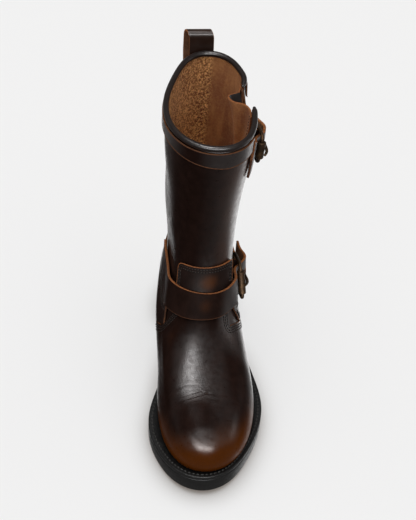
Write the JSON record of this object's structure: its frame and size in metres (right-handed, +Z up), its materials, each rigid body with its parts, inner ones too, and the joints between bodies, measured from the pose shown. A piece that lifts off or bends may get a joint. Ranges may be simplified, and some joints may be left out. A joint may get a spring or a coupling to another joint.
{
  "type": "motorcycle boot",
  "caption": "Pull-on leather motorcycle boot for the left foot, mid-calf shaft, strapped instep with roller buckle, buckled collar slit, pull loop, welted lug sole and block heel.",
  "frame": {"origin": "on the floor under the middle of the heel", "axes": "+Z up along the shaft, -Y to the toe, +X to the outer side of the left foot"},
  "size_m": [0.1076, 0.2971, 0.3009],
  "materials": {
    "leather": "dark brown, waxed, browner where burnished",
    "strap_leather": "dark brown, burnished, raw tan edges",
    "dark_leather": "near black, satin",
    "suede": "brown rough side",
    "insole": "matt board",
    "rubber": "black, matt",
    "brass": "dark antique brass"
  },
  "bodies": {
    "root": {"outsole": "rubber", "heel": "rubber", "welt": "rubber", "insole": "insole", "upper": "leather", "vamp": "leather", "counter": "leather", "instep_patch": "strap_leather", "collar_band": "leather", "collar_binding": "dark_leather", "gusset": "suede", "pull_loop": "dark_leather", "instep_strap": "strap_leather", "instep_chape": "strap_leather", "instep_frame": "brass", "instep_roller": "brass", "instep_prong": "brass", "top_strap": "strap_leather", "top_chape": "strap_leather", "top_frame": "brass", "top_roller": "brass", "top_prong": "brass"}
  },
  "joints": []
}
